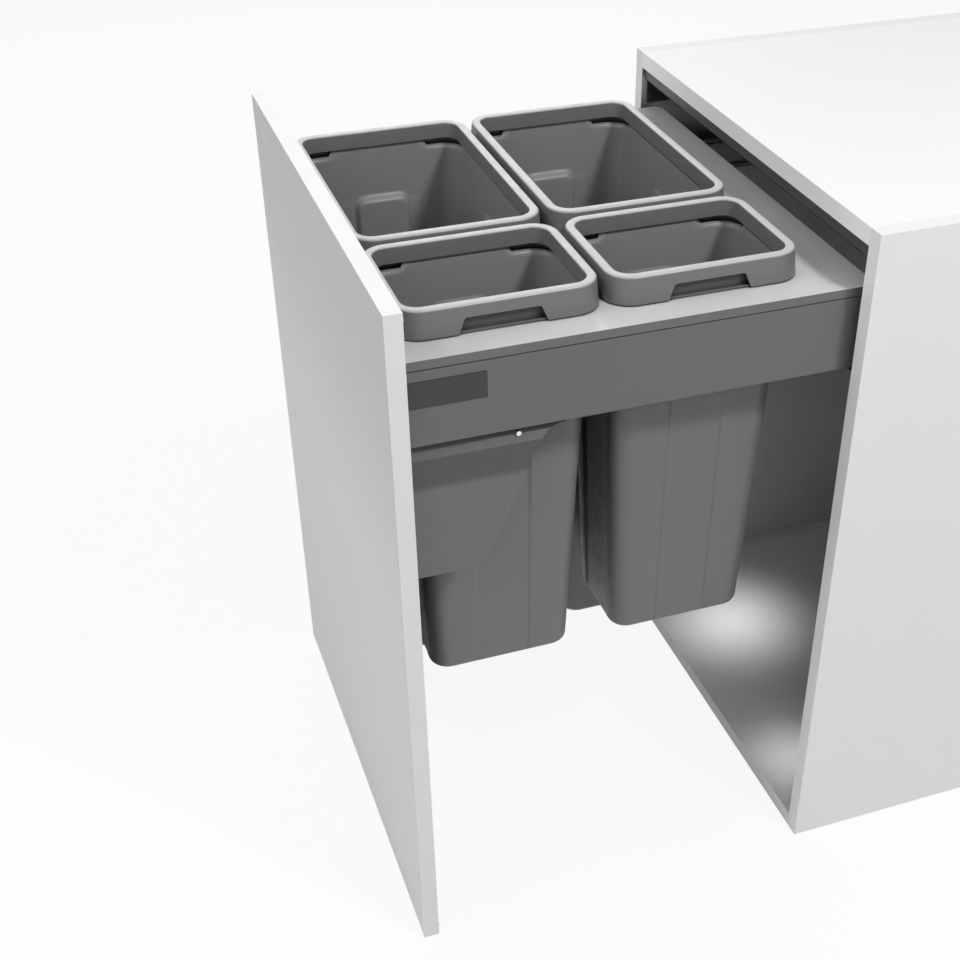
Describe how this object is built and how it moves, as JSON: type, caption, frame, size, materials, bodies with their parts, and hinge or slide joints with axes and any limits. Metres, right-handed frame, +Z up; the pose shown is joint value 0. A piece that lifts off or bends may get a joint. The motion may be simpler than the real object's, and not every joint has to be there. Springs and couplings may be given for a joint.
{
  "type": "built-in recycling bin",
  "caption": "Pull-out waste sorting drawer for a base cabinet, with tall removable bins, lift-off collars, a cover frame, full-extension runners and a fixed lid.",
  "frame": {"origin": "centre of the cabinet's footprint, on the carcass underside", "axes": "+Z up, the front faces -Y, +X is the right-hand side seen from the front"},
  "size_m": [0.6, 1.048, 0.82],
  "materials": {
    "board": "white melamine, satin",
    "back_board": "white melamine, satin",
    "dowel": "raw beech",
    "front_board": "white lacquer, satin",
    "cover_paint": "light grey, satin",
    "drawer_paint": "dark grey, satin",
    "cap_paint": "darker grey, satin",
    "lid_paint": "dark grey, satin",
    "zinc": "zinc-plated",
    "brace_steel": "galvanised, matt",
    "bright_steel": "polished",
    "cage_plastic": "natural",
    "damper_plastic": "black",
    "seal_rubber": "black, matt",
    "bumper_rubber": "clear grey",
    "bin_plastic": "dark grey",
    "collar_plastic": "mid grey, satin"
  },
  "bodies": {
    "cabinet": {"side_panel_left": "board", "side_panel_right": "board", "top_panel": "board", "bottom_panel": "board", "back_panel": "back_board", "carcass_dowels": "dowel", "lid_plate": "lid_paint", "lid_seal": "seal_rubber", "lid_bracket_front_left": "zinc", "lid_bracket_front_right": "zinc", "lid_bracket_rear_left": "zinc", "lid_bracket_rear_right": "zinc", "lid_clips": "bright_steel", "lid_screws": "bright_steel", "cabinet_rail_left": "zinc", "cabinet_rail_right": "zinc", "rail_screws": "bright_steel", "soft_close_left": "damper_plastic", "soft_close_right": "damper_plastic"},
    "drawer": {"drawer_rail_left": "zinc", "drawer_rail_right": "zinc", "drawer_side_left": "drawer_paint", "drawer_side_right": "drawer_paint", "cover_cap_left": "cap_paint", "cover_cap_right": "cap_paint", "front_bracket_left": "zinc", "front_bracket_right": "zinc", "bracket_bolts": "bright_steel", "brace_left": "brace_steel", "brace_right": "brace_steel", "brace_rivets": "bright_steel", "front_screws": "bright_steel", "drawer_back": "drawer_paint", "back_screws": "bright_steel", "front_panel": "front_board", "front_bumpers": "bumper_rubber", "cover_frame": "cover_paint", "frame_screws": "bright_steel"},
    "middle_rails": {"middle_rail_left": "zinc", "middle_rail_right": "zinc"},
    "outer_ball_cages": {"outer_cage_left": "cage_plastic", "outer_cage_right": "cage_plastic", "outer_balls": "bright_steel"},
    "inner_ball_cages": {"inner_cage_left": "cage_plastic", "inner_cage_right": "cage_plastic", "inner_balls": "bright_steel"},
    "bin_front_left": {"bin_front_left": "bin_plastic"},
    "collar_front_left": {"collar_front_left": "collar_plastic"},
    "bin_front_right": {"bin_front_right": "bin_plastic"},
    "collar_front_right": {"collar_front_right": "collar_plastic"},
    "bin_rear_left": {"bin_rear_left": "bin_plastic"},
    "collar_rear_left": {"collar_rear_left": "collar_plastic"},
    "bin_rear_right": {"bin_rear_right": "bin_plastic"},
    "collar_rear_right": {"collar_rear_right": "collar_plastic"}
  },
  "joints": [
    {"name": "drawer_slide", "type": "slide", "parent": "cabinet", "child": "drawer", "axis": [0, -1, 0], "range_m": [-0.468, 0.03]},
    {"name": "middle_rail_slide", "type": "slide", "parent": "cabinet", "child": "middle_rails", "axis": [0, -1, 0], "range_m": [-0.235, 0.016]},
    {"name": "outer_cage_slide", "type": "slide", "parent": "cabinet", "child": "outer_ball_cages", "axis": [0, -1, 0], "range_m": [-0.118, 0.0085]},
    {"name": "inner_cage_slide", "type": "slide", "parent": "cabinet", "child": "inner_ball_cages", "axis": [0, -1, 0], "range_m": [-0.352, 0.0235]},
    {"name": "bin_front_left_lift", "type": "slide", "parent": "drawer", "child": "bin_front_left", "axis": [0, 0, 1], "range_m": [0, 0.53]},
    {"name": "collar_front_left_lift", "type": "slide", "parent": "bin_front_left", "child": "collar_front_left", "axis": [0, 0, 1], "range_m": [0, 0.05]},
    {"name": "bin_front_right_lift", "type": "slide", "parent": "drawer", "child": "bin_front_right", "axis": [0, 0, 1], "range_m": [0, 0.43]},
    {"name": "collar_front_right_lift", "type": "slide", "parent": "bin_front_right", "child": "collar_front_right", "axis": [0, 0, 1], "range_m": [0, 0.05]},
    {"name": "bin_rear_left_lift", "type": "slide", "parent": "drawer", "child": "bin_rear_left", "axis": [0, 0, 1], "range_m": [0, 0.53]},
    {"name": "collar_rear_left_lift", "type": "slide", "parent": "bin_rear_left", "child": "collar_rear_left", "axis": [0, 0, 1], "range_m": [0, 0.05]},
    {"name": "bin_rear_right_lift", "type": "slide", "parent": "drawer", "child": "bin_rear_right", "axis": [0, 0, 1], "range_m": [0, 0.43]},
    {"name": "collar_rear_right_lift", "type": "slide", "parent": "bin_rear_right", "child": "collar_rear_right", "axis": [0, 0, 1], "range_m": [0, 0.05]}
  ],
  "couplings": [
    {"joint": "middle_rail_slide", "follows": "drawer_slide", "ratio": 0.5},
    {"joint": "outer_cage_slide", "follows": "drawer_slide", "ratio": 0.25},
    {"joint": "inner_cage_slide", "follows": "drawer_slide", "ratio": 0.75}
  ]
}
